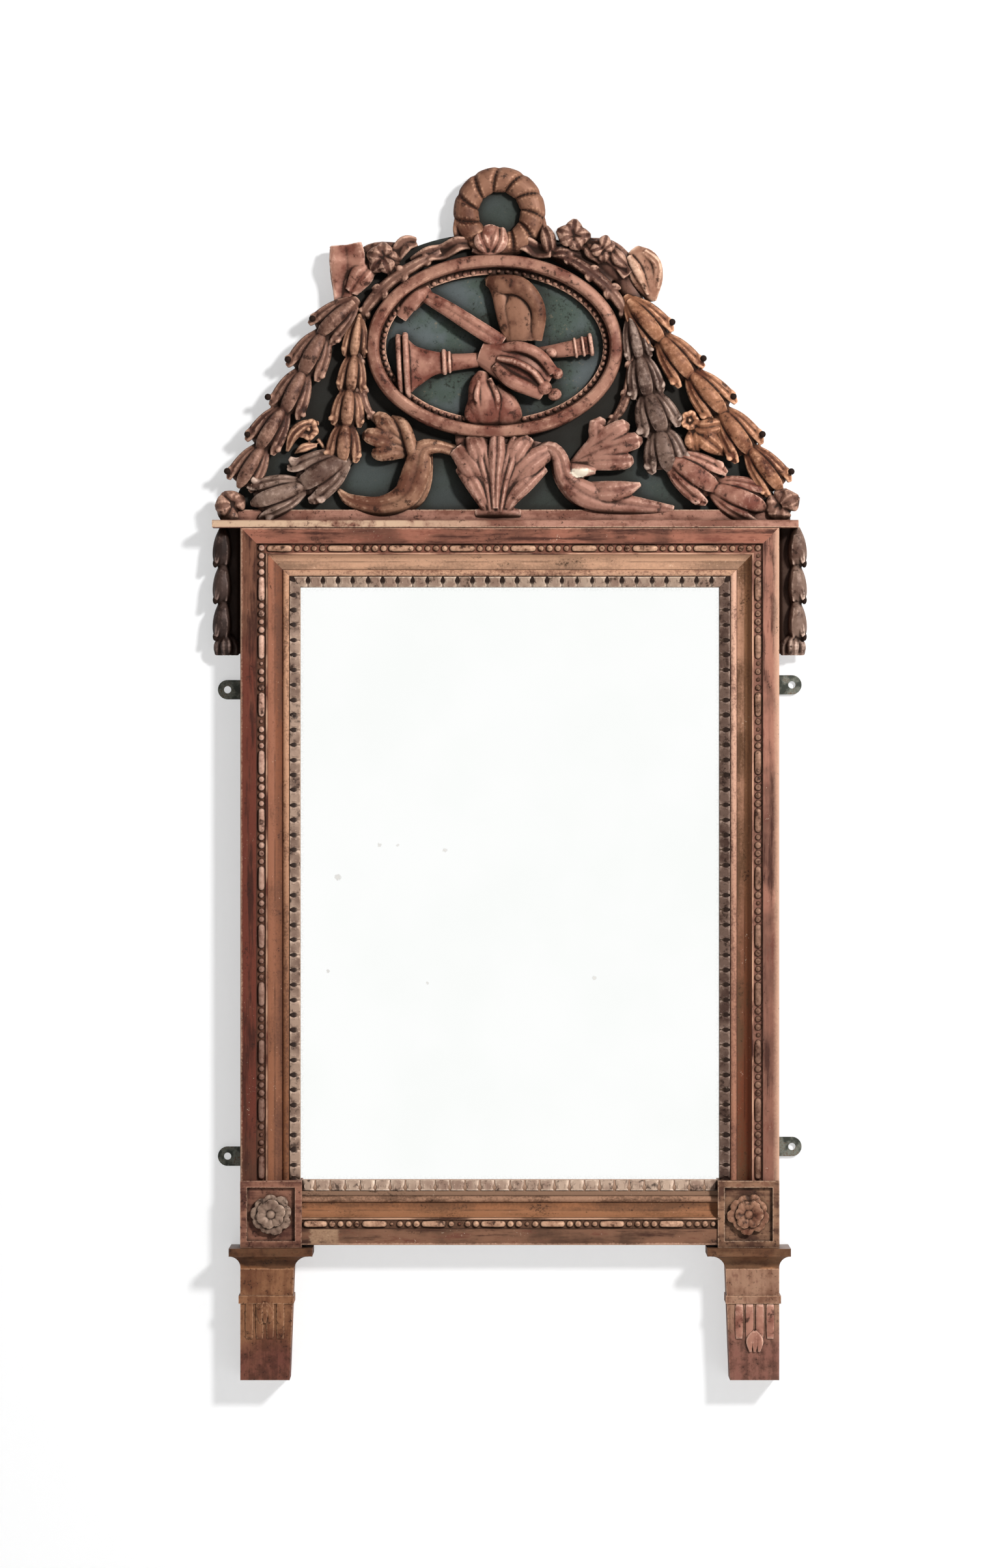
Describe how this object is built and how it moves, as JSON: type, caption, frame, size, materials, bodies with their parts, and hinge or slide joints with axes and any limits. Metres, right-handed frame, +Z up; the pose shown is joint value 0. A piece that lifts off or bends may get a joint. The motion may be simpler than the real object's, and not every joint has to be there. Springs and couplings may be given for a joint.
{
  "type": "giltwood wall mirror",
  "caption": "Tall wall mirror in a worn giltwood frame with bead moulding, short feet and a carved crest with oval medallion, ribbon and husk garlands.",
  "frame": {"origin": "on the back plane that lies on the wall, in the middle of the glass's sight opening", "axes": "+Z up, +X to the viewer's right, -Y out of the wall towards the viewer"},
  "size_m": [0.4877, 0.045, 0.999],
  "materials": {
    "worn_gilding": "satin",
    "painted_crest": "matte",
    "bare_pine": "matte",
    "silvered_glass": "polished",
    "old_iron": "matte"
  },
  "bodies": {
    "root": {"acanthus_leaf": "worn_gilding", "backboard_nails": "old_iron", "bottom_bead_row": "worn_gilding", "bottom_rail": "worn_gilding", "cornice_ledge": "worn_gilding", "crest_board": "painted_crest", "crest_screws": "old_iron", "foot_dowels": "bare_pine", "glass_blocks": "bare_pine", "left_bead_row": "worn_gilding", "left_corner_block": "worn_gilding", "left_corner_flower": "worn_gilding", "left_foot": "worn_gilding", "left_foot_cap": "worn_gilding", "left_inner_garland": "worn_gilding", "left_lower_garland": "worn_gilding", "left_outer_garland": "worn_gilding", "left_pendant": "worn_gilding", "left_ribbon": "worn_gilding", "left_ribbon_tail": "worn_gilding", "left_rosette": "worn_gilding", "left_scroll": "worn_gilding", "left_side_flower": "worn_gilding", "left_stile": "worn_gilding", "lower_backboard": "bare_pine", "lower_left_lug": "old_iron", "lower_right_lug": "old_iron", "lug_screws": "old_iron", "medallion_pearls": "worn_gilding", "medallion_rim": "worn_gilding", "mirror_glass": "silvered_glass", "mitre_keys": "bare_pine", "ribbon_knot": "worn_gilding", "ribbon_ring": "worn_gilding", "right_bead_row": "worn_gilding", "right_corner_block": "worn_gilding", "right_corner_flower": "worn_gilding", "right_foot": "worn_gilding", "right_foot_cap": "worn_gilding", "right_inner_garland": "worn_gilding", "right_lower_garland": "worn_gilding", "right_outer_garland": "worn_gilding", "right_pendant": "worn_gilding", "right_ribbon": "worn_gilding", "right_ribbon_tail": "worn_gilding", "right_rosette": "worn_gilding", "right_scroll": "worn_gilding", "right_side_flower": "worn_gilding", "right_stile": "worn_gilding", "top_bead_row": "worn_gilding", "top_rail": "worn_gilding", "trophy_bag": "worn_gilding", "trophy_drum": "worn_gilding", "trophy_horn": "worn_gilding", "trophy_mattock": "worn_gilding", "trophy_plume": "worn_gilding", "upper_backboard": "bare_pine", "upper_left_lug": "old_iron", "upper_right_lug": "old_iron"}
  },
  "joints": []
}
